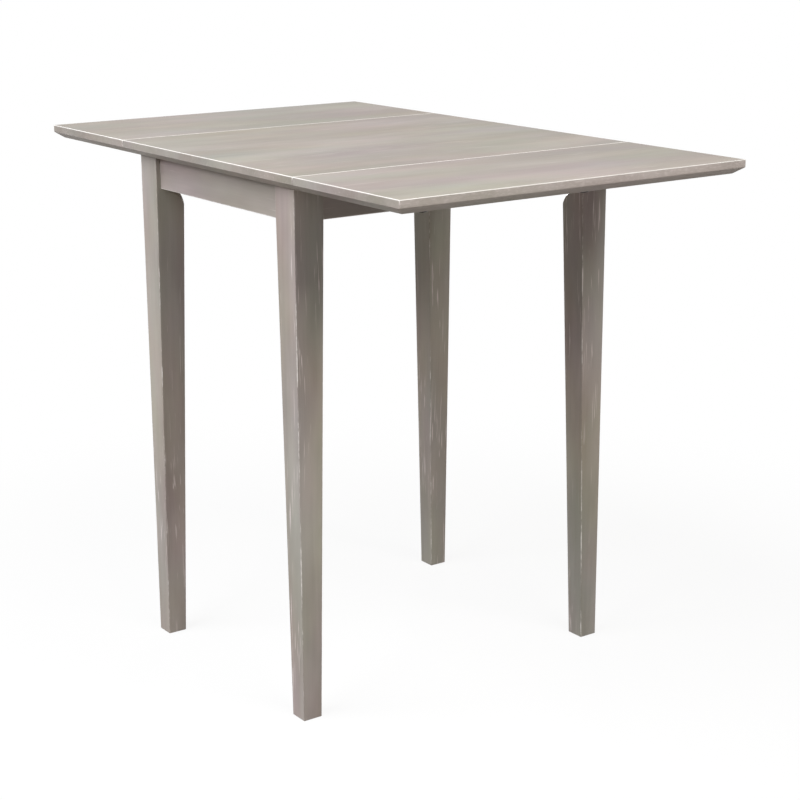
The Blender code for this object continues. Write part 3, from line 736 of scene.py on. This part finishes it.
def placeScrew(name, body, turn, place):
    count = len(placedScrews)
    screw = copyPiece(plateScrew)
    spin = Matrix.Rotation(math.radians(screws["spin"] * count % 90), 4, "Z")
    screw.data.transform(Matrix.Translation(place) @ turn @ spin)
    screw.name = screw.data.name = name + "Screw.%02d" % count
    dress(screw, blackSteel, "black_steel", body)
    placedScrews.append(screw)


underside = sideOf("centre_top", 2, -1)
faceDown = Matrix.Rotation(math.pi, 4, "X")


def placeHingeScrews(name, leafBody, signY):
    hinge = name + "_hinge_"
    centrePlate, leafPlate, pin = hinge + "centre_plate", hinge + "leaf_plate", hinge + "pin"
    margin = plateHoles["margin"]
    left, right = sideOf(leafPlate, 0, -1) + margin, sideOf(leafPlate, 0, 1) - margin
    centreRow = sideOf(centrePlate, 1, -signY) + signY * margin
    leafRow = sideOf(leafPlate, 1, signY) - signY * margin
    loneRow = (sideOf(pin, 1, -1) + sideOf(pin, 1, 1)) / 2 + signY * plateHoles["pinToMiddle"]
    z = underside - plateHoles["hingeFace"]
    for x in (left, right):
        placeScrew(name + "_hingeCentre", "table_frame", faceDown, (x, centreRow, z))
        placeScrew(name + "_hingeLeaf", leafBody, faceDown, (x, leafRow, z))
    placeScrew(name + "_hingeLeaf", leafBody, faceDown, ((left + right) / 2, loneRow, z))


def placeStayScrews(name, leafBody, signX, signY):
    slotPlate, bracket = name + "_stay_slot_plate", name + "_stay_bracket"
    margin = plateHoles["margin"]
    x = sideOf(bracket, 0, -signX) + signX * margin
    firstRow = sideOf(slotPlate, 1, -signY) + signY * margin
    z = underside - plateHoles["slotFace"]
    for step in (0.0, plateHoles["slotRows"]):
        placeScrew(name + "_staySlot", leafBody, faceDown, (x, firstRow + signY * step, z))
    faceOut = Matrix.Rotation(math.radians(-90 * signY), 4, "X")  # away from the rail
    y = sideOf(bracket, 1, -signY) + signY * plateHoles["bracketFace"]
    topRow = sideOf(bracket, 2, 1) - margin
    for step in (0.0, plateHoles["bracketRows"]):
        placeScrew(name + "_stayBracket", "table_frame", faceOut, (x, y, topRow - step))


for side, signY in (("front", -1), ("back", 1)):
    leafBody = side + "_leaf_assembly"
    for hand, signX in (("left", -1), ("right", 1)):
        placeHingeScrews(side + "_" + hand, leafBody, signY)
        placeStayScrews(side + "_" + hand, leafBody, signX, signY)
bpy.data.objects.remove(plateScrew)
print("plate screws made:", len(placedScrews))


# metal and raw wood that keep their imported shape
for name, node in nodes.items():
    if node.hide_render:  # a piece above stands in for it
        continue
    if name.endswith("corner_block"):
        finish = rawWood
    elif name.endswith("hanger_bolt"):
        finish = risingThread if name.startswith(("front_left", "back_right")) else fallingThread
    elif name.endswith(("flange_nut", "top_screw")):
        finish = zincSteel
    else:
        finish = blackSteel
    if not node.material_slots:
        node.data.materials.append(finish)
    for slot in node.material_slots:
        slot.material = finish
print("packed pieces dressed")


# white stage: the camera sees white, and the shadow near the feet stays
stage = {
    "reach": 60.0,
    "bounceColour": (0.20, 0.178, 0.156, 1),  # what the table gets back from the floor
    "bounceRoughness": 0.9,
    "seenColour": (0.93, 0.93, 0.93, 1),
    "shadowNear": 0.55,
    "shadowFar": 1.3,
    "whiten": 0.90,
    "domeColour": (1.0, 0.96, 0.91, 1),
    "domeStrength": 0.09,
}


def seenDirectly(tree):
    ray = tree.nodes.new("ShaderNodeLightPath").outputs
    mirrored = doMath(tree, "MAXIMUM", ray["Is Glossy Ray"], ray["Is Transmission Ray"])
    return doMath(tree, "MAXIMUM", ray["Is Camera Ray"], mirrored)


def mixShaders(tree, amount, first, second):
    mix = tree.nodes.new("ShaderNodeMixShader")
    for socket, value in zip(mix.inputs, (amount, first, second)):
        wire(tree, socket, value)
    return mix.outputs[0]


def makeFloor():
    bpy.ops.object.select_all(action="DESELECT")
    bpy.ops.mesh.primitive_plane_add(size=stage["reach"], location=(0, 0, 0))
    floor = bpy.context.object
    floor.name = floor.data.name = "studioFloor"
    material, tree, bounce, place = startMaterial("studioFloor")
    bounce.inputs["Base Color"].default_value = stage["bounceColour"]
    bounce.inputs["Roughness"].default_value = stage["bounceRoughness"]
    paper = tree.nodes.new("ShaderNodeBsdfDiffuse")
    paper.inputs["Color"].default_value = stage["seenColour"]
    white = tree.nodes.new("ShaderNodeEmission")
    length = tree.nodes.new("ShaderNodeVectorMath")
    length.operation = "LENGTH"
    wire(tree, length.inputs[0], place)
    far = fade(tree, length.outputs["Value"], stage["shadowNear"], stage["shadowFar"], stage["whiten"], 1.0)
    shown = mixShaders(tree, far, paper.outputs[0], white.outputs[0])
    wire(tree, tree.nodes["Material Output"].inputs["Surface"],
         mixShaders(tree, seenDirectly(tree), bounce.outputs[0], shown))
    floor.data.materials.append(material)


def makeDome():
    world = bpy.data.worlds.new("studioWorld")
    bpy.context.scene.world = world
    world.use_nodes = True
    tree = world.node_tree
    dome = tree.nodes["Background"]
    dome.inputs["Color"].default_value = stage["domeColour"]
    dome.inputs["Strength"].default_value = stage["domeStrength"]
    white = tree.nodes.new("ShaderNodeBackground")
    white.inputs["Color"].default_value = (1, 1, 1, 1)
    wire(tree, tree.nodes["World Output"].inputs["Surface"],
         mixShaders(tree, seenDirectly(tree), dome.outputs[0], white.outputs[0]))


lampAim = Vector((0, 0, 0.5))
lamps = {
    "keyLamp": {"place": (-3.08, 0.05, 3.69), "size": 3.4, "power": 226, "colour": (0.955, 0.97, 1.0)},
    "frontLamp": {"place": (0.3, -3.11, 3.40), "size": 2.4, "power": 108, "colour": (1.0, 0.975, 0.94)},
    # low, for the far sides only
    "backLamp": {"place": (2.3, 2.7, 0.38), "size": 0.6, "power": 46, "colour": (1.0, 0.985, 0.96)},
}


def addLamp(name, settings):
    lamp = bpy.data.lights.new(name, "AREA")
    lamp.size = settings["size"]
    lamp.energy = settings["power"]
    lamp.color = settings["colour"]
    holder = bpy.data.objects.new(name, lamp)
    bpy.context.scene.collection.objects.link(holder)
    holder.location = settings["place"]
    holder.rotation_euler = (lampAim - Vector(settings["place"])).to_track_quat("-Z", "Y").to_euler()


makeFloor()
makeDome()
for name, settings in lamps.items():
    addLamp(name, settings)
print("stage and lamps set")


# camera at the photograph's viewing angle
view = {
    "lens": 81.44,
    "sensor": 36.0,
    "place": (-1.4681, -2.1260, 1.0765),
    "azimuth": 35.4525,
    "tilt": 15.3719,
    "roll": -0.2737,
}


def makeCamera():
    camera = bpy.data.cameras.new("camera")
    camera.lens = view["lens"]
    camera.sensor_width = view["sensor"]
    holder = bpy.data.objects.new("camera", camera)
    bpy.context.scene.collection.objects.link(holder)
    azimuth, tilt, roll = (math.radians(view[k]) for k in ("azimuth", "tilt", "roll"))
    ahead = Vector((
        math.sin(azimuth) * math.cos(tilt),
        math.cos(azimuth) * math.cos(tilt),
        -math.sin(tilt),
    ))
    right = Vector((math.cos(azimuth), -math.sin(azimuth), 0))
    up = right.cross(ahead)
    across = math.cos(roll) * right + math.sin(roll) * up
    over = -math.sin(roll) * right + math.cos(roll) * up
    turn = Matrix((across, over, -ahead)).transposed().to_4x4()
    holder.matrix_world = Matrix.Translation(view["place"]) @ turn
    bpy.context.scene.camera = holder


makeCamera()
bpy.context.scene.view_settings.view_transform = "Standard"
print("camera set")
